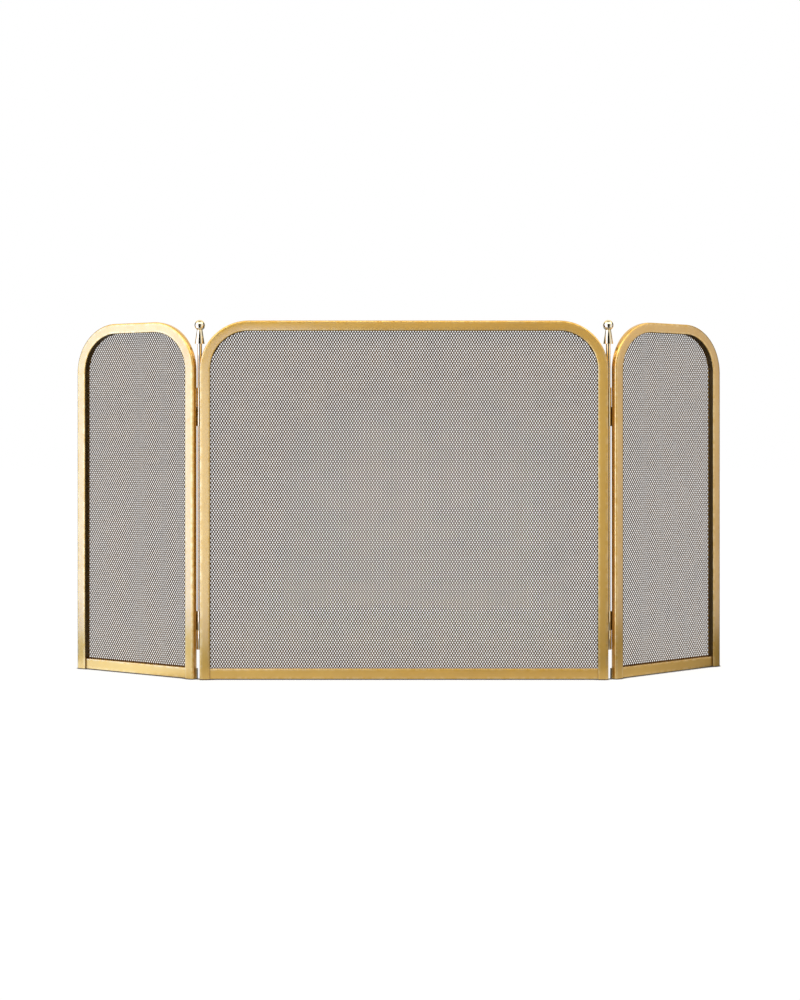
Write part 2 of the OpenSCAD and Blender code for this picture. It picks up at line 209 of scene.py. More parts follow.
def smoothed(tree, geometry, share=True, domain="FACE"):
    return geo(tree, "SetShadeSmooth", {"Geometry": geometry, "Shade Smooth": share}, domain=domain)


# Sizes that all panels share, in metres and degrees
screen = {
    "height": 0.762,
    "centreWidth": 0.867,
    "wingWidth": 0.316,
    "bendRadius": 0.105,
    "tubeFace": 0.022,
    "tubeDepth": 0.014,
    "footLine": 0.0015,
    "railTop": 0.023,
    "leftFold": 28,
    "rightFold": 34.5,
    "hingeOffset": 0.002,
    "hingeBack": 0.02151,
}

hingeAt = {joint["name"]: Vector(joint["pos_m"]) for joint in frame["joints"] if joint["type"] == "hinge"}


# A stand takes a panel drawn upright over x = 0, front on y = 0, to its place in the folded screen
def wingStand(jointName, side, fold):
    axis = hingeAt[jointName]
    toAxis = Matrix.Translation((axis.x, axis.y, 0))
    turn = Matrix.Rotation(math.radians(side * fold), 4, "Z")
    middle = side * (screen["hingeOffset"] + screen["wingWidth"] / 2)
    return toAxis @ turn @ Matrix.Translation((middle, -screen["hingeBack"], 0))


frontCorner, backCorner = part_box("centre_frame")
panels = {
    "centre": {
        "width": screen["centreWidth"],
        "body": "centre_panel",
        "stand": Matrix.Translation(((frontCorner.x + backCorner.x) / 2, frontCorner.y, 0)),
    },
    "left_wing": {
        "width": screen["wingWidth"],
        "body": "left_wing",
        "stand": wingStand("left_wing_hinge", -1, screen["leftFold"]),
    },
    "right_wing": {
        "width": screen["wingWidth"],
        "body": "right_wing",
        "stand": wingStand("right_wing_hinge", 1, screen["rightFold"]),
    },
}


# Camera: level, straight in front, as the photograph was taken
cameraSet = {
    "distance": 3.135,
    "height": 0.5296,
    "lens": 53.28,
    "shiftX": -0.004,
    "shiftY": -0.07,
    "reach": 60,
}

cameraData = bpy.data.cameras.new("view")
cameraData.lens = cameraSet["lens"]
cameraData.shift_x = cameraSet["shiftX"]
cameraData.shift_y = cameraSet["shiftY"]
cameraData.clip_end = cameraSet["reach"]
camera = bpy.data.objects.new("view", cameraData)
centreFront = panels["centre"]["stand"].translation
camera.location = (centreFront.x, centreFront.y - cameraSet["distance"], cameraSet["height"])
camera.rotation_euler = (math.radians(90), 0, 0)
scene.collection.objects.link(camera)
scene.camera = camera


# Finishes: patterns that several materials share
patternSet = {
    "streaks": (0.3, 0.7),  # the noise values at which each pattern begins and is full
    "patches": (0.35, 0.65),
    "rubs": (0.4, 0.62),
    "marks": (0.48, 0.75),
    "specks": 0.25,  # how much of the patches is fine specks
    "speckDensity": 9.0,
}


def brushedGrainGroup():
    tree, given, result = newTree("brushedGrain", "ShaderNodeTree", {
        "Place": "Vector", "Stroke Length": 0.06, "Stroke Width": 0.0005,
    }, {"Fine": "Float", "Broad": "Float"})
    x, y, z = split(tree, given["Place"])
    for label, longer, wider, detail in (("Fine", 1.0, 1.0, 3.0), ("Broad", 3.0, 7.0, 2.0)):
        along = x / (given["Stroke Length"] * longer)
        width = given["Stroke Width"] * wider
        strokes = noise(tree, combine(tree, along, y / width, z / width), 1.0, detail, 0.6)
        strokes.to(result[label])
    return tree


def agedToneGroup():
    tree, given, result = newTree("agedTone", "ShaderNodeTree", {
        "Place": "Vector", "Patch Size": 0.08, "Fresh": (0.8, 0.5, 0.15, 1), "Aged": (0.6, 0.35, 0.08, 1),
        "Amount": 0.5}, {"Tone": "Color", "Patches": "Float"})
    scaled = scale(tree, given["Place"], 1.0 / given["Patch Size"])
    broad, specks = noise(tree, scaled, 1.0, 4.0), noise(tree, scaled, patternSet["speckDensity"], 2.0)
    both = specks * patternSet["specks"] + broad * (1.0 - patternSet["specks"])
    patches = ramp(tree, both, *patternSet["patches"])
    mixColor(tree, patches * given["Amount"], given["Fresh"], given["Aged"]).to(result["Tone"])
    patches.to(result["Patches"])
    return tree


def edgeWearGroup():
    tree, given, result = newTree("edgeWear", "ShaderNodeTree", {
        "Place": "Vector", "Edges": 0.0, "Rub Size": 0.012}, {"Worn": "Float"})
    rubs = noise(tree, scale(tree, given["Place"], 1.0 / given["Rub Size"]), 1.0, 5.0)
    (ramp(tree, rubs, *patternSet["rubs"]) * given["Edges"]).to(result["Worn"])
    return tree


def smudgeGroup():
    tree, given, result = newTree("smudges", "ShaderNodeTree", {
        "Place": "Vector", "Smudge Size": 0.03}, {"Smudge": "Float"})
    marks = noise(tree, scale(tree, given["Place"], 1.0 / given["Smudge Size"]), 1.0, 6.0, 0.7, 0.6)
    ramp(tree, marks, *patternSet["marks"]).to(result["Smudge"])
    return tree


brushedGrain = brushedGrainGroup()
agedTone = agedToneGroup()
edgeWear = edgeWearGroup()
smudges = smudgeGroup()


def newMaterial(name, metallic, sockets):
    material = bpy.data.materials.new(name)
    material.use_nodes = True
    tree = material.node_tree
    shader = tree.nodes["Principled BSDF"].inputs
    shader["Metallic"].default_value = metallic
    for key, value in sockets.items():
        shader[key].default_value = value
    return material, tree, shader


def objectPlace(tree):
    return wires(addNode(tree, "ShaderNodeTexCoord"))["Object"]


def readAttribute(tree, name, output="Fac"):
    node = addNode(tree, "ShaderNodeAttribute", None, attribute_name=name, attribute_type="GEOMETRY")
    return wires(node)[output]


# The four patterns, each placed in a material with that material's own values
def agedPattern(tree, place, values):
    return placeGroup(tree, agedTone, {
        "Place": place, "Patch Size": values["patchSize"], "Fresh": values["fresh"], "Aged": values["aged"],
        "Amount": values["agedShare"]})


def grainPattern(tree, place, values):
    return placeGroup(tree, brushedGrain, {"Place": place, "Stroke Length": values["strokeLength"],
                                           "Stroke Width": values["strokeWidth"]})


def wornPattern(tree, place, rubSize=0.012):
    edges = readAttribute(tree, "edgeWear")
    return placeGroup(tree, edgeWear, {"Place": place, "Edges": edges, "Rub Size": rubSize})["Worn"]


def smudgePattern(tree, place, size=0.03):
    return placeGroup(tree, smudges, {"Place": place, "Smudge Size": size})["Smudge"]


def dress(tree, shader, bump, sockets):
    strength, distance, height = bump
    shade(tree, "Bump", {"Strength": strength, "Distance": distance, "Height": height}).to(shader["Normal"])
    for key, value in sockets.items():
        value.to(shader[key])


# Brass: brushed along its length on the frames, polished bright on the rods, hinges and screws
satinSet = {
    "fresh": (0.75, 0.440, 0.068, 1),
    "aged": (0.66, 0.370, 0.048, 1),
    "worn": (0.90, 0.66, 0.28, 1),
    "paintedInsideShade": (0.13, 0.092, 0.042, 1),  # painted shade on the tubes' inner sides
    "insideShadeShare": 0.9,
    "patchSize": 0.11,
    "agedShare": 0.6,
    "wornShare": 0.5,
    "strokeLength": 0.09,
    "strokeWidth": 0.0005,
    "strokeShade": 0.05,
    "bump": (0.5, 0.00004),  # strength, and the strokes' depth
    "roughness": {"plain": 0.35, "strokes": 0.10, "smudges": 0.07, "worn": -0.1},
    "lacquer": {"plain": 1.0, "smudges": -0.25, "worn": -0.3},
    "lacquerGloss": {"Coat IOR": 1.8, "Coat Roughness": 0.17},
    "spread": 0.4,  # how much wider its shine is across the strokes
}


def satinBrass(name, fromTube):
    material, tree, shader = newMaterial(name, 1.0, satinSet["lacquerGloss"])
    place = objectPlace(tree)
    if fromTube:
        # brushed along the tube, so that its shine spreads across it
        shader["Anisotropic"].default_value = satinSet["spread"]
        shader["Anisotropic Rotation"].default_value = 0.25  # a quarter turn
        shade(tree, "Tangent", None, direction_type="UV_MAP", uv_map="tubeMap").to(shader["Tangent"])
        grainPlace = readAttribute(tree, "grainPlace", "Vector")
    else:
        x, y, z = split(tree, place)
        grainPlace = combine(tree, z, x, y)
    grain = grainPattern(tree, grainPlace, satinSet)
    tone = agedPattern(tree, place, satinSet)["Tone"]
    worn, smudge = wornPattern(tree, place), smudgePattern(tree, place)
    streaks = grain["Fine"] * 0.5 + grain["Broad"] * 0.5
    change = satinSet["strokeShade"]
    colour = scale(tree, tone, ramp(tree, streaks, *patternSet["streaks"], 1 - change, 1 + change))
    colour = mixColor(tree, worn * satinSet["wornShare"], colour, satinSet["worn"])
    # painted shade: the inner sides are darkened and lose their lacquer
    insideShade = readAttribute(tree, "innerSide") * satinSet["insideShadeShare"]
    rough, coat = satinSet["roughness"], satinSet["lacquer"]
    dress(tree, shader, (*satinSet["bump"], grain["Fine"]), {
        "Base Color": mixColor(tree, insideShade, colour, satinSet["paintedInsideShade"]),
        "Roughness": worn * rough["worn"] + (smudge * rough["smudges"] + (
            streaks * rough["strokes"] + rough["plain"])),
        "Coat Weight": (worn * coat["worn"] + (smudge * coat["smudges"] + coat["plain"])) * (1.0 - insideShade),
    })
    return material


polishedSet = {
    "fresh": (0.96, 0.86, 0.62, 1),
    "aged": (0.88, 0.72, 0.42, 1),
    "worn": (0.96, 0.8, 0.5, 1),
    "leafShade": (0.07, 0.045, 0.018, 1),  # painted shade on the side of a hinge leaf that lies on its frame
    "patchSize": 0.03,
    "agedShare": 0.6,
    "wornShare": 0.6,
    "dullShare": 0.35,
    "strokeLength": 0.02,
    "strokeWidth": 0.0004,
    "smudgeSize": 0.014,
    "bump": (0.15, 0.00002),
    "roughness": {"plain": 0.03, "strokes": 0.05, "smudges": 0.06, "leafShade": 0.45},
    "lacquer": {"plain": 0.3, "smudges": -0.2},
    "lacquerGloss": {"Coat IOR": 1.5, "Coat Roughness": 0.03},
}


def polishedBrass():
    material, tree, shader = newMaterial("polishedBrass", 1.0, polishedSet["lacquerGloss"])
    place = objectPlace(tree)
    x, y, z = split(tree, place)
    turned = grainPattern(tree, combine(tree, x, z, y), polishedSet)["Fine"]
    tone = agedPattern(tree, place, polishedSet)["Tone"]
    worn, smudge = wornPattern(tree, place), smudgePattern(tree, place, polishedSet["smudgeSize"])
    # painted shade where the leaf lies on its frame, with a rougher finish and no lacquer
    leafShade = readAttribute(tree, "leafShade")
    colour = mixColor(tree, smudge * polishedSet["dullShare"], tone, satinSet["aged"])
    colour = mixColor(tree, worn * polishedSet["wornShare"], colour, polishedSet["worn"])
    rough, coat = polishedSet["roughness"], polishedSet["lacquer"]
    dress(tree, shader, (*polishedSet["bump"], turned), {
        "Base Color": mixColor(tree, leafShade, colour, polishedSet["leafShade"]),
        "Roughness": leafShade * rough["leafShade"] + (smudge * rough["smudges"] + (
            turned * rough["strokes"] + rough["plain"])),
        "Coat Weight": (smudge * coat["smudges"] + coat["plain"]) * (1.0 - leafShade),
    })
    return material


wireSet = {
    "fresh": (0.075, 0.037, 0.009, 1),
    "aged": (0.130, 0.070, 0.018, 1),
    "bare": (0.30, 0.20, 0.08, 1),  # the front of each crossing is rubbed a little brighter
    "patchSize": 0.05,
    "agedShare": 0.9,
    "rubSize": 0.004,
    "bareShare": 0.35,
    "grainSize": 2600.0,
    "bump": (0.2, 0.00005),
    "roughness": {"plain": 0.5, "patches": 0.2, "worn": -0.1},
}


def bronzedWire():
    material, tree, shader = newMaterial("bronzedWire", 0.6, {"Specular IOR Level": 0.3})
    place = objectPlace(tree)
    tone = agedPattern(tree, place, wireSet)
    worn = wornPattern(tree, place, wireSet["rubSize"])
    rough = wireSet["roughness"]
    dress(tree, shader, (*wireSet["bump"], noise(tree, place, wireSet["grainSize"], 2.0)), {
        "Base Color": mixColor(tree, worn * wireSet["bareShare"], tone["Tone"], wireSet["bare"]),
        "Roughness": worn * rough["worn"] + (tone["Patches"] * rough["patches"] + rough["plain"]),
    })
    return material


rubberSet = {
    "fresh": (0.016, 0.015, 0.014, 1),
    "aged": (0.045, 0.042, 0.038, 1),
    "dust": (0.16, 0.15, 0.135, 1),
    "patchSize": 0.012,
    "agedShare": 0.8,
    "dustSize": 0.006,
    "dustShare": 0.3,
    "grainSize": 1800.0,
    "bump": (0.35, 0.0001),
    "roughness": {"plain": 0.62, "dust": 0.2},
}


def blackRubber():
    material, tree, shader = newMaterial("blackRubber", 0.0, {"Specular IOR Level": 0.35})
    place = objectPlace(tree)
    tone = agedPattern(tree, place, rubberSet)["Tone"]
    dust = smudgePattern(tree, place, rubberSet["dustSize"])
    dress(tree, shader, (*rubberSet["bump"], noise(tree, place, rubberSet["grainSize"], 3.0)), {
        "Base Color": mixColor(tree, dust * rubberSet["dustShare"], tone, rubberSet["dust"]),
        "Roughness": dust * rubberSet["roughness"]["dust"] + rubberSet["roughness"]["plain"],
    })
    return material


tubeBrass = satinBrass("satinBrassTube", True)
stripBrass = satinBrass("satinBrassStrip", False)
brightBrass = polishedBrass()
wireBronze = bronzedWire()
rubber = blackRubber()
print("made the materials")


# Placing a finished mesh on its body
def settle(name, mesh, body, nodes, stand=None):
    if stand is not None:
        mesh.transform(stand)
    piece = bpy.data.objects.new(name, mesh)
    scene.collection.objects.link(piece)
    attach(piece, body)
    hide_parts(*nodes)
    return piece


# Grows a mesh from a node group, with a wall inside it where it is a tube
def grow(name, tree, values, startMesh=None, wall=0.0, crease=None):
    carrier = bpy.data.objects.new(name, startMesh or bpy.data.meshes.new(name + "_start"))
    scene.collection.objects.link(carrier)
    modifier = carrier.modifiers.new("grow", "NODES")
    modifier.node_group = tree
    for socket in tree.interface.items_tree:
        if socket.in_out == "INPUT" and socket.name in values:
            modifier[socket.identifier] = values[socket.name]
    if wall:
        hollow = carrier.modifiers.new("wall", "SOLIDIFY")
        hollow.thickness = wall
        hollow.offset = -1
    depsgraph = bpy.context.evaluated_depsgraph_get()
    mesh = bpy.data.meshes.new_from_object(carrier.evaluated_get(depsgraph), preserve_all_data_layers=True,
                                           depsgraph=depsgraph)
    bpy.data.meshes.remove(carrier.data)
    mesh.name = name
    if crease:
        mesh.set_sharp_from_angle(angle=math.radians(crease))
    return mesh


# Frames and bottom rails: one tube profile drawn along a path
tubeSet = {
    "outerEdge": 0.0038,
    "otherEdges": 0.002,
    "crown": 0.0002,  # how far the front face's long edges fall back from its middle
    "wall": 0.0012,
    "crease": 40,  # edges that turn by more degrees than this stay sharp
    "bendSteps": 40,
    "edgeSteps": 5,
    "faceCuts": 3,
    "wornFrom": 0.999,  # shares of half the tube's size, where a fillet and the inner side begin
    "innerFrom": 0.99,
}
railSet = {"height": 0.0215, "recess": 0.0045, "edgeRadius": 0.0009, "crown": 0.0001}


def sweptTubeGroup():
    tree, given, result = newTree("sweptTube", "GeometryNodeTree", {
        "Path": "Geometry", "Face": 0.022, "Depth": 0.014, "Outer Edge": 0.004, "Edge Radius": 0.002,
        "Crown": 0.0, "Edge Steps": 4, "Closed Ends": False}, {"Tube": "Geometry"})
    reached = wires(addNode(tree, "GeometryNodeSplineParameter"))["Length"]
    path = storeValue(tree, given["Path"], "tubeAlong", reached)
    path = geo(tree, "SetCurveNormal", {"Curve": path, "Normal": (0, -1, 0)}, mode="FREE")
    # the profile's x is the tube's depth, its front at +x, and its y runs inwards across the face
    profile = geo(tree, "CurvePrimitiveQuadrilateral", {"Width": given["Depth"], "Height": given["Face"]})
    place = geo(tree, "InputPosition")
    x, y = split(tree, place)[:2]
    # the long edge at the front and outside is rounder than the other three
    edge = (x > 0.0) * (y < 0.0) * (given["Outer Edge"] - given["Edge Radius"]) + given["Edge Radius"]
    profile = geo(tree, "FilletCurve", {"Curve": profile, "Count": given["Edge Steps"], "Radius": edge,
                                        "Limit Radius": True}, mode="POLY")
    profile = geo(tree, "SubdivideCurve", {"Curve": profile, "Cuts": tubeSet["faceCuts"]})
    halfFace, halfDepth = given["Face"] * 0.5, given["Depth"] * 0.5
    sideways, deep = y / halfFace, x / halfDepth
    fall = sideways * sideways * given["Crown"] * larger(deep, 0.0)
    profile = storeValue(tree, profile, "tubeSection", place, "FLOAT_VECTOR")
    nearSide = abs(sideways) > tubeSet["wornFrom"] - edge / halfFace
    nearFace = abs(deep) > tubeSet["wornFrom"] - edge / halfDepth
    profile = storeValue(tree, profile, "edgeWear", nearSide * nearFace)
    profile = storeValue(tree, profile, "innerSide", sideways > tubeSet["innerFrom"])
    profile = storeValue(tree, profile, "tubeAround", reached)
    profile = geo(tree, "SetPosition", {"Geometry": profile, "Offset": combine(tree, fall * -1.0, 0.0, 0.0)})
    tube = geo(tree, "CurveToMesh", {"Curve": path, "Profile Curve": profile,
                                     "Fill Caps": given["Closed Ends"]})
    x, y = split(tree, readValue(tree, "tubeSection", "FLOAT_VECTOR"))[:2]
    along, around = readValue(tree, "tubeAlong"), readValue(tree, "tubeAround")
    tube = storeValue(tree, tube, "grainPlace", combine(tree, along, y, x), "FLOAT_VECTOR")
    tube = storeValue(tree, tube, "tubeMap", combine(tree, along, around, 0.0), "FLOAT2", "CORNER")
    for spare in ("tubeAlong", "tubeSection", "tubeAround"):
        tube = geo(tree, "RemoveAttribute", {"Geometry": tube, "Name": spare})
    smoothed(tree, tube).to(result["Tube"])
    return tree


def sweep(tree, path, given, closed=False):
    inputs = {"Path": path, "Closed Ends": closed}
    for key in ("Face", "Depth", "Outer Edge", "Edge Radius", "Crown", "Edge Steps"):
        inputs[key] = given[key]
    return wires(addNode(tree, "GeometryNodeGroup", inputs, node_tree=sweptTube))["Tube"]


def finishTree(tree, geometry, material, result):
    real = geo(tree, "RealizeInstances", {"Geometry": geometry})
    geo(tree, "SetMaterial", {"Geometry": real, "Material": material}).to(result)


def bentFrameTree():
    tree, given, result = newTree("bentFrame", "GeometryNodeTree", {
        "Width": 0.867, "Top": 0.762, "Foot": 0.0015, "Bend Radius": 0.105, "Bend Steps": 40, "Face": 0.022,
        "Depth": 0.014, "Outer Edge": 0.004, "Edge Radius": 0.002, "Crown": 0.0005, "Edge Steps": 4,
        "Material": "Material"}, {"Geometry": "Geometry"})
    halfFace, middle, foot = given["Face"] * 0.5, given["Depth"] * 0.5, given["Foot"]
    right, top = given["Width"] * 0.5 - halfFace, given["Top"] - halfFace
    left = right * -1.0
    corner = addNode(tree, "GeometryNodeIndexSwitch", {"Index": geo(tree, "InputIndex")}, data_type="VECTOR")
    while len(corner.index_switch_items) < 4:
        corner.index_switch_items.new()
    for number, (x, z) in enumerate(((left, foot), (left, top), (right, top), (right, foot)), 1):
        combine(tree, x, middle, z).to(corner.inputs[number])
    line = geo(tree, "MeshLine", {"Count": 4})
    line = geo(tree, "SetPosition", {"Geometry": line, "Position": Wire(corner.outputs[0])})
    path = geo(tree, "MeshToCurve", {"Mesh": line})
    path = geo(tree, "FilletCurve", {"Curve": path, "Count": given["Bend Steps"], "Limit Radius": True,
                                     "Radius": given["Bend Radius"] - halfFace}, mode="POLY")
    finishTree(tree, sweep(tree, path, given), given["Material"], result["Geometry"])
    return tree


def straightRailTree():
    tree, given, result = newTree("straightRail", "GeometryNodeTree", {
        "Length": 0.823, "Foot": 0.0015, "Recess": 0.0045, "Face": 0.0215, "Depth": 0.0095,
        "Outer Edge": 0.003, "Edge Radius": 0.0018, "Crown": 0.0, "Edge Steps": 4,
        "Material": "Material"}, {"Geometry": "Geometry"})
    right = given["Length"] * 0.5
    middle = given["Depth"] * 0.5 + given["Recess"]
    level = given["Face"] * 0.5 + given["Foot"]
    path = geo(tree, "CurvePrimitiveLine", {"Start": combine(tree, right * -1.0, middle, level),
                                            "End": combine(tree, right, middle, level)})
    finishTree(tree, sweep(tree, path, given, True), given["Material"], result["Geometry"])
    return tree


sweptTube = sweptTubeGroup()
bentFrame = bentFrameTree()
straightRail = straightRailTree()

for panelName, panel in panels.items():
    shared = {"Foot": screen["footLine"], "Edge Steps": tubeSet["edgeSteps"], "Material": tubeBrass}
    frameSizes = {
        "Width": panel["width"], "Top": screen["height"], "Bend Radius": screen["bendRadius"],
        "Bend Steps": tubeSet["bendSteps"], "Face": screen["tubeFace"], "Depth": screen["tubeDepth"],
        "Outer Edge": tubeSet["outerEdge"], "Edge Radius": tubeSet["otherEdges"], "Crown": tubeSet["crown"],
    }
    railSizes = {
        "Length": panel["width"] - 2 * screen["tubeFace"], "Recess": railSet["recess"],
        "Face": railSet["height"], "Depth": screen["tubeDepth"] - railSet["recess"],
        "Outer Edge": railSet["edgeRadius"], "Edge Radius": railSet["edgeRadius"], "Crown": railSet["crown"],
    }
    for kind, tree, sizes, wall, node in (("bentFrame", bentFrame, frameSizes, tubeSet["wall"], "_frame"),
                                          ("straightRail", straightRail, railSizes, 0.0, "_bottom_rail")):
        name = panelName + "_" + kind
        mesh = grow(name, tree, {**shared, **sizes}, wall=wall, crease=tubeSet["crease"])
        settle(name, mesh, panel["body"], [panelName + node], panel["stand"])
print("swept the frames and rails")


# Nets: wires woven over and under each other in diamonds
netSet = {
    "pitchAcross": 0.0056,
    "pitchUp": 0.0091,
    "strandWidth": 0.00202,
    "strandThickness": 0.0008,
    "inset": 0.0145,  # how far inside the frame's outline the wires end, under the strip
    "shadeBar": 0.0042,  # a flat dark bar over the bottom rail of each wing, painted shade for the dark gap line there
    "shadeBarShows": 0.0022,
    "shadeBarLayers": 1.9,
}


def diamondNetTree():
    tree, given, result = newTree("diamondNet", "GeometryNodeTree", {
        "Width": 0.867, "Top": 0.762, "Bend Radius": 0.105, "Foot": 0.0155, "Inset": 0.0145,
        "Middle Plane": 0.0148, "Pitch Across": 0.0056, "Pitch Up": 0.0091, "Strand Width": 0.0014,
        "Strand Thickness": 0.0008, "Lean": 1.0, "Shade Bar": 0.0, "Shade Bar Top": 0.0252,
        "Material": "Material"}, {"Geometry": "Geometry"})
    lean, plane, halfWidth = given["Lean"], given["Middle Plane"], given["Width"] * 0.5
    # whole diamonds fill the width and the height
    columns = calc(tree, "ROUND", given["Width"] / given["Pitch Across"])
    pitch = given["Width"] / columns
    slant = pitch * 0.5
    rows = calc(tree, "ROUND", given["Top"] / given["Pitch Up"]) * 2.0
    count = columns + calc(tree, "CEIL", rows / 2.0) + 1.0
    one = geo(tree, "CurvePrimitiveLine", {"Start": (0, 0, 0), "End": combine(tree, 0.0, 0.0, given["Top"])})
    one = geo(tree, "ResampleCurve", {"Curve": one, "Count": rows + 1.0})
    firstX = given["Width"] * -0.5 + rows * slant * ((lean > 0.0) * -1.0)
    starts = geo(tree, "MeshLine", {"Count": count, "Start Location": combine(tree, firstX, 0.0, 0.0),
                                    "Offset": combine(tree, pitch, 0.0, 0.0)})
    strands = geo(tree, "InstanceOnPoints", {"Points": starts, "Instance": one})
    strands = geo(tree, "RealizeInstances", {"Geometry": strands})
    row = wires(addNode(tree, "GeometryNodeSplineParameter"))["Index"]
    wave = calc(tree, "COSINE", row * math.pi) * (given["Strand Thickness"] * 0.5) * lean
    woven = combine(tree, row * slant * lean, wave + plane, 0.0)
    strands = geo(tree, "SetPosition", {"Geometry": strands, "Offset": woven})
    # cut the wires at the arched outline
    x, y, z = split(tree, geo(tree, "InputPosition"))
    pastX = larger(abs(x) - (halfWidth - given["Bend Radius"]), 0.0)
    pastZ = larger(z - (given["Top"] - given["Bend Radius"]), 0.0)
    outside = length(tree, pastX, pastZ) > given["Bend Radius"] - given["Inset"]
    cut = larger(outside, z < given["Foot"])
    strands = geo(tree, "DeleteGeometry", {"Geometry": strands, "Selection": cut}, domain="POINT")
    strands = storeValue(tree, strands, "edgeWear", y < plane)
    strands = geo(tree, "SetCurveNormal", {"Curve": strands, "Normal": (0, -1, 0)}, mode="FREE")
    section = combine(tree, given["Strand Thickness"], given["Strand Width"], 1.0)
    ring = geo(tree, "CurvePrimitiveCircle", {"Resolution": 4, "Radius": 0.5})
    ring = geo(tree, "Transform", {"Geometry": ring, "Scale": section})
    net = smoothed(tree, geo(tree, "CurveToMesh", {"Curve": strands, "Profile Curve": ring,
                                                   "Fill Caps": True}))
    # painted shade: a flat dark bar, nearly as thick as both layers of wire, stands in for the dark gap line
    # over the rail
    shadeBarWidth = (halfWidth - given["Inset"]) * 2.0
    shadeBarSize = combine(tree, shadeBarWidth, given["Strand Thickness"] * netSet["shadeBarLayers"], given["Shade Bar"])
    shadeBar = shift(tree, geo(tree, "MeshCube", {"Size": shadeBarSize}), 0.0, plane,
                given["Shade Bar"] * -0.5 + given["Shade Bar Top"])
    net = geo(tree, "Switch", {"Switch": given["Shade Bar"] > 0.0, "False": net, "True": join(tree, net, shadeBar)},
              input_type="GEOMETRY")
    finishTree(tree, net, given["Material"], result["Geometry"])
    return tree


diamondNet = diamondNetTree()
for panelName, panel in panels.items():
    for wayName, lean in (("rising", 1.0), ("falling", -1.0)):
        name = panelName + "_" + wayName + "Wires"
        mesh = grow(name, diamondNet, {
            "Width": panel["width"], "Top": screen["height"], "Bend Radius": screen["bendRadius"],
            "Foot": screen["railTop"] - screen["tubeFace"] + netSet["inset"], "Inset": netSet["inset"],
            "Middle Plane": screen["tubeDepth"] + netSet["strandThickness"],
            "Pitch Across": netSet["pitchAcross"], "Pitch Up": netSet["pitchUp"],
            "Strand Width": netSet["strandWidth"], "Strand Thickness": netSet["strandThickness"],
            # the painted shade bar goes on each wing's rising wires
            "Lean": lean, "Shade Bar": netSet["shadeBar"] if panelName != "centre" and lean > 0 else 0.0,
            "Shade Bar Top": screen["railTop"] + netSet["shadeBarShows"], "Material": wireBronze,
        })
        settle(name, mesh, panel["body"], [panelName + "_net"], panel["stand"])
        print("wove", name, len(mesh.vertices), "points")


# Solids that keep their shape get softened edges
softenSet = {
    "_leaf": {"width": 0.0006, "steps": 3, "material": brightBrass, "slot": "polished_brass"},
    "_washer": {"width": 0.0001, "steps": 2, "material": brightBrass, "slot": "polished_brass"},
    "_net_strip": {"width": 0.0003, "steps": 2, "material": stripBrass, "slot": "satin_brass"},
    "_glide": {"width": 0.0004, "steps": 3, "material": rubber, "slot": "glide_rubber"},
}
weldReach = 0.000001
flatAngle = math.radians(0.6)  # faces that turn by less than this become one
softAngle = math.radians(35)  # edges that turn by more than this get softened
sharpAngle = math.radians(50)  # edges that turn by more than this stay sharp in the shading
backReach = 0.0003  # how near a leaf's back has to be to the frame, and how squarely it faces it
backFacing = -0.9


def weldedNode(nodeName):
    shape = bmesh.new()
    shape.from_mesh(frame["nodes"][nodeName].data)
    bmesh.ops.remove_doubles(shape, verts=shape.verts, dist=weldReach)
    return shape


def soften(nodeName, values, body, toPanel=None):
    shape = weldedNode(nodeName)
    bmesh.ops.dissolve_limit(shape, angle_limit=flatAngle, verts=shape.verts, edges=shape.edges)
    worn = shape.faces.layers.float.new("edgeWear")
    inner = [edge for edge in shape.edges if len(edge.link_faces) == 2]
    edges = [edge for edge in inner if edge.calc_face_angle(0.0) > softAngle]
    made = bmesh.ops.bevel(shape, geom=edges, offset=values["width"], segments=values["steps"], profile=0.5,
                           affect="EDGES", clamp_overlap=True)
    for face in made["faces"]:
        face[worn] = 1.0
    for face in shape.faces:
        face.smooth = True
    if toPanel is not None:
        # painted shade: the side that lies on the frame's back is darkened and dulled
        dull = shape.faces.layers.float.new("leafShade")
        for face in shape.faces:
            onBack = abs((toPanel @ face.calc_center_median()).y - screen["tubeDepth"]) < backReach
            if onBack and (toPanel.to_3x3() @ face.normal).y < backFacing:
                face[dull] = 1.0
    mesh = frame["nodes"][nodeName].data.copy()
    shape.to_mesh(mesh)
    shape.free()
    mesh.materials.clear()
    mesh.materials.append(values["material"])
    mesh.name = nodeName + "_softened"
    mesh.set_sharp_from_angle(angle=sharpAngle)
    settle(mesh.name, mesh, body, [nodeName])


bodyOf = {node: name for name, nodes in frame["record"]["behaviour"]["bodies"].items() for node in nodes}
toPanels = {panel["body"]: panel["stand"].inverted() for panel in panels.values()}

for nodeName in sorted(frame["nodes"]):
    for ending, values in softenSet.items():
        if nodeName.endswith(ending):
            body = bodyOf[nodeName]
            soften(nodeName, values, body, toPanels[body] if ending == "_leaf" else None)
print("softened the leaves, washers, strips and glides")


# Screws: domed slotted heads, each slot left at its own angle
screwSet = {
    "strip": {"head": 0.0056, "shank": 0.0029, "length": 0.0063},
    "hinge": {"head": 0.0064, "shank": 0.0035, "length": 0.0052},
    "headHeight": 0.0018,
    "rim": 0.0005,
    "dome": ((0.34, 0.90), (0.28, 0.84), (0.22, 0.72), (0.16, 0.45)),  # each ring's rise and narrowing
    "slotWidth": 0.0009,
    "slotDepth": 0.0008,
    "slotLength": 1.2,  # times the head, so that it runs right across
    "headSides": 20,
    "shankSides": 14,
    "crease": 40,
    "seed": 7,
}


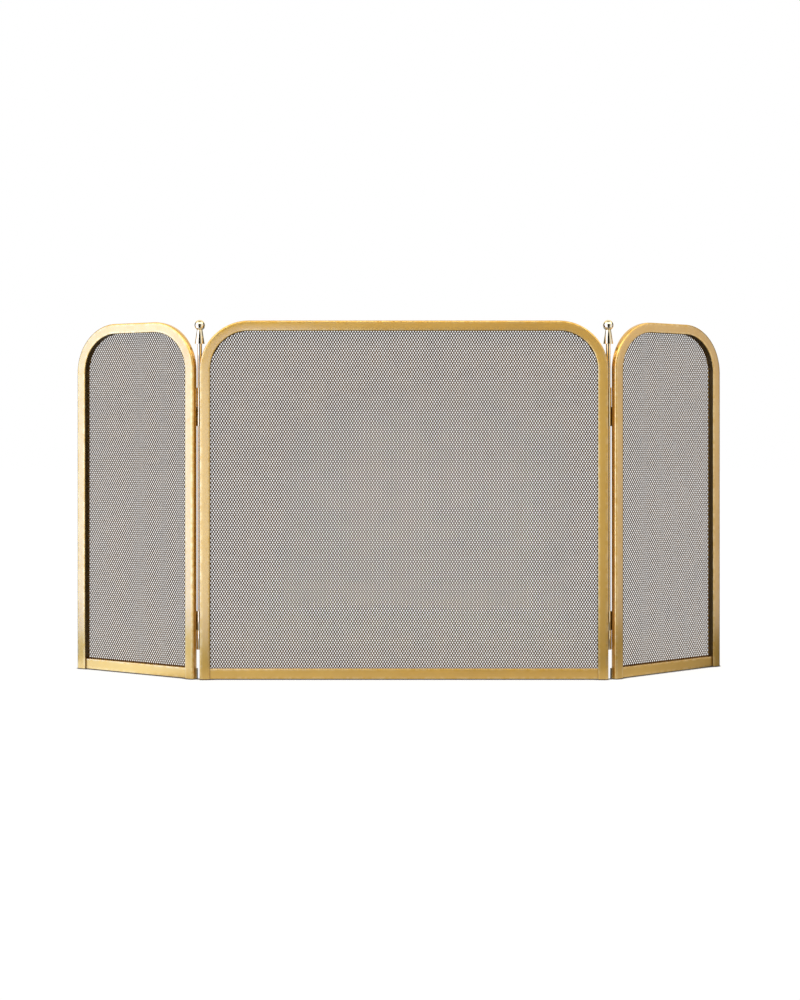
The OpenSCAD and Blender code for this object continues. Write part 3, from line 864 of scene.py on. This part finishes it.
def slottedScrewTree():
    tree, given, result = newTree("slottedScrews", "GeometryNodeTree", {
        "Places": "Geometry", "Head": 0.0056, "Head Height": 0.0018, "Rim": 0.0005, "Shank": 0.0029,
        "Length": 0.006, "Slot Width": 0.0009, "Slot Depth": 0.0008, "Seed": 7,
        "Material": "Material"}, {"Geometry": "Geometry"})
    dome = given["Head Height"] - given["Rim"]
    disc = wires(addNode(tree, "GeometryNodeMeshCylinder", {
        "Vertices": screwSet["headSides"], "Radius": given["Head"] * 0.5, "Depth": given["Rim"]}))
    head, top = disc["Mesh"], disc["Top"]
    for share, shrink in screwSet["dome"]:
        raised = wires(addNode(tree, "GeometryNodeExtrudeMesh", {
            "Mesh": head, "Selection": top, "Offset": (0, 0, 1), "Offset Scale": dome * share}))
        top = raised["Top"]
        head = geo(tree, "ScaleElements", {"Geometry": raised["Mesh"], "Selection": top, "Scale": shrink})
    head = shift(tree, head, 0.0, 0.0, given["Rim"] * 0.5)
    slotLength = given["Head"] * screwSet["slotLength"]
    slotSize = combine(tree, slotLength, given["Slot Width"], given["Head Height"])
    slot = shift(tree, geo(tree, "MeshCube", {"Size": slotSize}), 0.0, 0.0,
                 given["Head Height"] * 1.5 - given["Slot Depth"])
    head = geo(tree, "MeshBoolean", {"Mesh 1": head, "Mesh 2": slot}, operation="DIFFERENCE", solver="EXACT")
    shank = geo(tree, "MeshCylinder", {
        "Vertices": screwSet["shankSides"], "Radius": given["Shank"] * 0.5, "Depth": given["Length"]})
    shank = shift(tree, shank, 0.0, 0.0, given["Length"] * -0.5)
    angle = addNode(tree, "FunctionNodeRandomValue", {2: 0.0, 3: math.pi, "Seed": given["Seed"]},
                    data_type="FLOAT")
    spin = combine(tree, -math.pi / 2, Wire(angle.outputs[1]), 0.0)
    screws = geo(tree, "InstanceOnPoints", {"Points": given["Places"], "Instance": join(tree, head, shank),
                                            "Rotation": spin})
    screws = smoothed(tree, geo(tree, "RealizeInstances", {"Geometry": screws}))
    soft = geo(tree, "InputMeshEdgeAngle") < math.radians(screwSet["crease"])
    finishTree(tree, smoothed(tree, screws, soft, "EDGE"), given["Material"], result["Geometry"])
    return tree


# Places of a node's screws in its panel's own coordinates, at the undersides of their heads
def screwPlaces(nodeName, stand):
    shape = weldedNode(nodeName)
    shape.transform(stand.inverted())
    places, left = [], set(shape.verts)
    while left:
        island, waiting = [], [left.pop()]
        while waiting:
            vert = waiting.pop()
            island.append(vert.co)
            near = {edge.other_vert(vert) for edge in vert.link_edges} & left
            left -= near
            waiting += near
        low, high = ([pick(co[axis] for co in island) for axis in range(3)] for pick in (min, max))
        places.append(((low[0] + high[0]) / 2, high[1] - screwSet["headHeight"], (low[2] + high[2]) / 2))
    shape.free()
    return sorted(places)


slottedScrews = slottedScrewTree()
for panelName, panel in panels.items():
    for kind in ("strip", "hinge"):
        nodeName = panelName + "_" + kind + "_screws"
        places = screwPlaces(nodeName, panel["stand"])
        marks = bpy.data.meshes.new(nodeName + "_marks")
        marks.from_pydata(places, [], [])
        sizes = screwSet[kind]
        name = panelName + "_" + kind + "Screws"
        mesh = grow(name, slottedScrews, {
            "Head": sizes["head"], "Head Height": screwSet["headHeight"], "Rim": screwSet["rim"],
            "Shank": sizes["shank"], "Length": sizes["length"], "Slot Width": screwSet["slotWidth"],
            "Slot Depth": screwSet["slotDepth"], "Seed": screwSet["seed"], "Material": brightBrass,
        }, marks)
        settle(name, mesh, panel["body"], [nodeName], panel["stand"])
        print("set", len(places), "screws of", nodeName)


# Hinge rods with their skirts and balls, turned on a lathe
rodSet = {
    "radius": 0.005,
    "bottom": 0.065,
    "chamfer": 0.001,
    "skirtBottom": 0.71314,
    "ballSeat": 0.74264,
    "studRadius": 0.003,
    "studTop": 0.75164,
    "clearance": 0.00005,  # around the stud, in the skirt and the ball
    "skirtFoot": 0.01075,
    "skirtNeck": 0.00625,
    "skirtRim": 0.0012,
    "ballRadius": 0.0115,
    "ballHeight": 0.753,
    "ballSteps": 40,
    "edge": 0.0004,
    "rodEdge": 0.0003,
    "shoulderEdge": 0.0001,
    "steps": 72,
}


# Rounds the marked corners of a profile given as (radius, height, rounding)
def roundedLine(corners, closed=False, steps=5):
    points, count = [], len(corners)
    for number, (r, z, rounding) in enumerate(corners):
        here = Vector((r, z))
        if not rounding or (not closed and number in (0, count - 1)):
            points.append((here, 0.0))
            continue
        back = Vector(corners[number - 1][:2]) - here
        ahead = Vector(corners[(number + 1) % count][:2]) - here
        angle = back.angle(ahead)
        # a rounding takes less than half of the shorter side
        reach = min(rounding / math.tan(angle / 2), 0.45 * back.length, 0.45 * ahead.length)
        start, end = here + back.normalized() * reach, here + ahead.normalized() * reach
        for step in range(steps + 1):
            t = step / steps
            points.append(((1 - t) ** 2 * start + 2 * t * (1 - t) * here + t ** 2 * end, 1.0))
    return points


def turnedMesh(name, line, closed, axis):
    shape = bmesh.new()
    worn = shape.verts.layers.float.new("edgeWear")
    steps = rodSet["steps"]
    angles = [2 * math.pi * step / steps for step in range(steps)]
    rings = []
    for point, wear in line:
        onAxis = point.x < weldReach
        ring = [shape.verts.new((axis.x + point.x * math.cos(angle), axis.y + point.x * math.sin(angle),
                                 point.y)) for angle in (angles[:1] if onAxis else angles)]
        for vert in ring:
            vert[worn] = wear
        rings.append(ring)
    for lower, upper in zip(rings, rings[1:] + (rings[:1] if closed else [])):
        for step in range(steps):
            after = (step + 1) % steps
            corners = [lower[step % len(lower)], lower[after % len(lower)], upper[after % len(upper)],
                       upper[step % len(upper)]]
            shape.faces.new(list(dict.fromkeys(corners))).smooth = True
    bmesh.ops.recalc_face_normals(shape, faces=shape.faces)
    mesh = bpy.data.meshes.new(name)
    shape.to_mesh(mesh)
    shape.free()
    mesh.materials.append(brightBrass)
    mesh.set_sharp_from_angle(angle=sharpAngle)
    return mesh


boreRadius = rodSet["studRadius"] + rodSet["clearance"]
boreTop = rodSet["studTop"] + rodSet["clearance"]


# The ball's outline with the blind bore that takes the stud
def boredBall():
    centre, radius, seat = rodSet["ballHeight"], rodSet["ballRadius"], rodSet["ballSeat"]
    seatRadius = math.sqrt(radius ** 2 - (centre - seat) ** 2)
    start = math.asin((seat - centre) / radius)
    line = [(0.0, boreTop, 0.0), (boreRadius, boreTop, 0.0), (boreRadius, seat, 0.0),
            (seatRadius - rodSet["edge"], seat, 1.0)]
    for step in range(rodSet["ballSteps"] + 1):
        angle = start + (math.pi / 2 - start) * step / rodSet["ballSteps"]
        line.append((max(radius * math.cos(angle), 0.0), centre + radius * math.sin(angle), 0.0))
    return [(Vector((r, z)), wear) for r, z, wear in line]


rodLine = roundedLine([
    (0, rodSet["bottom"], 0),
    (rodSet["radius"] - rodSet["chamfer"], rodSet["bottom"], rodSet["rodEdge"]),
    (rodSet["radius"], rodSet["bottom"] + rodSet["chamfer"], rodSet["rodEdge"]),
    (rodSet["radius"], rodSet["skirtBottom"], rodSet["shoulderEdge"]),
    (rodSet["studRadius"], rodSet["skirtBottom"], 0),
    (rodSet["studRadius"], rodSet["studTop"], rodSet["rodEdge"]),
    (0, rodSet["studTop"], 0),
])
skirtLine = roundedLine([
    (boreRadius, rodSet["skirtBottom"], 0),
    (rodSet["skirtFoot"], rodSet["skirtBottom"], rodSet["edge"]),
    (rodSet["skirtFoot"], rodSet["skirtBottom"] + rodSet["skirtRim"], rodSet["edge"]),
    (rodSet["skirtNeck"], rodSet["ballSeat"], rodSet["edge"]),
    (boreRadius, rodSet["ballSeat"], 0),
], closed=True)
ballLine = boredBall()

for side in ("left", "right"):
    axis = hingeAt[side + "_wing_hinge"]
    for pieceName, nodeEnd, line, closed in (("turnedRod", "_hinge_rod", rodLine, False),
                                             ("flaredSkirt", "_finial_skirt", skirtLine, True),
                                             ("brassBall", "_finial_ball", ballLine, False)):
        name = side + "_" + pieceName
        mesh = turnedMesh(name, line, closed, axis)
        settle(name, mesh, side + "_rod", [side + nodeEnd])
print("turned the rods, skirts and balls")


# Floor, light and backdrop
# Two numbers say where a change begins and ends, and two more the levels before and after it
floorSet = {
    "half": 16,
    "colour": (0.86, 0.86, 0.855, 1),
    "roughness": 0.9,
    "specular": 0.1,
    "contactReach": 0.014,
    # a dark brown painted contact shadow in the floor's glow, from ambient occlusion
    "paintedShadowColour": (0.02, 0.013, 0.004, 1),
    "contact": (0.5, 0.85),
    "contactSamples": 8,
    "paperWhite": (1.03, 1.03, 1.03, 1),
    "glow": (0.5, 1.3, 0.84, 1.0),
    "halfWidth": 0.72,  # half the width of the painted pool of light that the metal sees on the paper, and its front edge
    "front": 0.1,
    "near": (0.06, 0.16, 0.7, 0.28),
    "right": (0.45, 0.7, 1.0, 0.6),
    "left": (-0.44, -0.62),
    "leftLevels": (1.0, 2.2),
    "leftColour": (0.82, 0.98, 1.35, 1),
    "behind": (0.03, 0.09, 1.0, 0.35),
    "beyond": (0.4, 0.75),
}
roomSet = {
    "right": (0.46, 0.54, 0.03, 0.85),
    "left": (-0.43, -0.48),
    "leftLevel": 1.9,
    "leftColour": (0.91, 1.01, 1.4, 1),
    "leftStrip": {"towards": (-0.916, -0.402, 0), "width": (0.975, 0.992), "level": 2.4,
                  "colour": (0.59, 0.92, 2.1, 1)},
    "rightStrip": {"towards": (0.983, -0.184, 0), "width": (0.965, 0.985), "level": 1.0,
                   "colour": (0.95, 1.0, 1.3, 1)},
    "stripTop": (0.35, 0.25),
    "box": (0.42, 0.56),
    "boxLevel": 2.7,
    "boxColour": (1.0, 0.91, 0.70, 1),
    "ceiling": (0.82, 0.92),
    "ceilingLevel": 0.3,
    "behind": (-0.1, 0.12),
    "corners": (0.56, 0.78, 1.0, 0.05),
    "white": (1.0, 1.0, 1.0, 1),
}


# Which rays arrive, and whether they come straight from the camera
def lookedAt(tree):
    rays = wires(addNode(tree, "ShaderNodeLightPath"))
    return rays, larger(rays["Is Camera Ray"], rays["Is Transmission Ray"])


def paleFloor():
    half = floorSet["half"]
    mesh = bpy.data.meshes.new("floor")
    mesh.from_pydata([(-half, -half, 0), (half, -half, 0), (half, half, 0), (-half, half, 0)], [],
                     [(0, 1, 2, 3)])
    floor = bpy.data.objects.new("floor", mesh)
    scene.collection.objects.link(floor)
    material, tree = newMaterial("paleFloor", 0.0, {
        "Base Color": floorSet["colour"], "Roughness": floorSet["roughness"],
        "Specular IOR Level": floorSet["specular"]})[:2]
    rays, seen = lookedAt(tree)
    x, y = split(tree, objectPlace(tree))[:2]
    # lit paper with the screen's shadow, mixed into glowing white paper that carries a painted contact
    # shadow, which turns into plain white away from the screen
    closed = addNode(tree, "ShaderNodeAmbientOcclusion", {"Distance": floorSet["contactReach"]},
                     samples=floorSet["contactSamples"])
    bare = fade(tree, wires(closed)["AO"], *floorSet["contact"])
    white = mixColor(tree, bare, floorSet["paintedShadowColour"], floorSet["paperWhite"])
    glow = shade(tree, "Emission", {"Color": white, "Strength": 1.0})
    share = seen * fade(tree, length(tree, x, y), *floorSet["glow"])
    lit = Wire(tree.nodes["Principled BSDF"].outputs[0])
    plain = shade(tree, "MixShader", {0: share, 1: lit, 2: glow})
    # painted light: for glossy rays the paper glows as a pool of light close to the screen, brighter and
    # cooler at the left, with a dimmer ring around it and then the room
    beside, ahead = larger(abs(x) - floorSet["halfWidth"], 0.0), larger(y * -1.0 - floorSet["front"], 0.0)
    away = length(tree, beside, ahead)
    left = fade(tree, x, *floorSet["left"])
    uneven = fade(tree, x, *floorSet["right"]) * fade(tree, x, *floorSet["left"], *floorSet["leftLevels"])
    near = fade(tree, away, *floorSet["near"]) * (uneven * fade(tree, y, *floorSet["behind"]))
    paper = mixColor(tree, left, roomSet["white"], floorSet["leftColour"])
    paintedPool = shade(tree, "Emission", {"Color": paper, "Strength": near})
    mix = shade(tree, "MixShader", {0: rays["Is Glossy Ray"], 1: plain, 2: paintedPool})
    through = larger(rays["Is Glossy Ray"], rays["Is Shadow Ray"]) * fade(tree, away, *floorSet["beyond"])
    mix = shade(tree, "MixShader", {0: through, 1: mix, 2: shade(tree, "BsdfTransparent")})
    mix.to(tree.nodes["Material Output"].inputs["Surface"])
    mesh.materials.append(material)


def softLight(name, place, target, width, height, power):
    data = bpy.data.lights.new(name, "AREA")
    data.shape = "RECTANGLE"
    data.size = width
    data.size_y = height
    data.energy = power
    lamp = bpy.data.objects.new(name, data)
    lamp.location = place
    lamp.rotation_euler = (Vector(target) - Vector(place)).to_track_quat("-Z", "Y").to_euler()
    scene.collection.objects.link(lamp)
    return lamp


def studioWorld():
    world = bpy.data.worlds.new("studio")
    scene.world = world
    world.use_nodes = True
    tree = world.node_tree
    tree.nodes.clear()
    x, y, z = split(tree, wires(addNode(tree, "ShaderNodeTexCoord"))["Generated"])
    flat = shade(tree, "VectorMath", {0: combine(tree, x, y, 0.0)}, operation="NORMALIZE")
    flatX = split(tree, flat)[0]
    # around the camera the room is dark, bright at the left and pale at the right
    left = fade(tree, flatX, *roomSet["left"])
    level = lay(fade(tree, flatX, *roomSet["right"]), roomSet["leftLevel"], left)
    behind = fade(tree, y, *roomSet["behind"])
    colour = mixColor(tree, left * (1.0 - behind), roomSet["white"], roomSet["leftColour"])
    # a tall strip light for each wing's front
    lowPart = fade(tree, z, *roomSet["stripTop"])
    for strip in (roomSet["leftStrip"], roomSet["rightStrip"]):
        aimed = wires(addNode(tree, "ShaderNodeVectorMath", {0: flat, 1: strip["towards"]},
                              operation="DOT_PRODUCT"))["Value"]
        share = fade(tree, aimed, *strip["width"]) * lowPart
        level = lay(level, strip["level"], share)
        colour = mixColor(tree, share, colour, strip["colour"])
    # a soft box above the camera under a dim ceiling
    box = fade(tree, z, *roomSet["box"])
    level = lay(level, roomSet["boxLevel"], box)
    level = lay(level, roomSet["ceilingLevel"], fade(tree, z, *roomSet["ceiling"]))
    colour = mixColor(tree, box, colour, roomSet["boxColour"])
    # white behind the screen, with a dark corner at both sides
    level = lay(level, fade(tree, abs(x), *roomSet["corners"]), behind)
    seen = lookedAt(tree)[1]
    colour = mixColor(tree, seen, scale(tree, colour, level), roomSet["white"])
    back = shade(tree, "Background", {"Color": colour, "Strength": 1.0})
    back.to(addNode(tree, "ShaderNodeOutputWorld").inputs["Surface"])


paleFloor()
studioWorld()
topSet = {"place": (0, -1.4, 3.2), "target": (0, 0, 0.3), "width": 2.4, "height": 1.6, "power": 30}
topPanel = softLight("topPanel", **topSet)
topPanel.visible_glossy = False  # it lights the floor, and the metal sees the painted room alone

# Two panels for the satin tubes alone, so that the polished parts keep the dark room in their middle
panelSet = {
    "window": {"x": (-1.92, -0.38), "z": (-1.3, 0.95), "radiance": 1.64, "colour": (0.80, 0.965, 1.48)},
    "frontPanel": {"x": (-0.6, 1.8), "z": (-1.6, 1.75), "radiance": 0.53, "colour": (1.0, 0.93, 0.80)},
}
panelAway = 3.0
satinPieces = bpy.data.collections.new("satinPieces")
for piece in scene.objects:
    if piece.type == "MESH" and tubeBrass.name in piece.data.materials:
        satinPieces.objects.link(piece)
for name, values in panelSet.items():
    (left, right), (bottom, top) = values["x"], values["z"]
    place = Vector((centreFront.x + (left + right) / 2, centreFront.y - panelAway, (bottom + top) / 2))
    power = values["radiance"] * math.pi * (right - left) * (top - bottom)
    lamp = softLight(name, place, place + Vector((0, 1, 0)), right - left, top - bottom, power)
    lamp.data.color = values["colour"]
    lamp.light_linking.receiver_collection = satinPieces
scene.view_settings.view_transform = "Standard"
print("lit the studio")
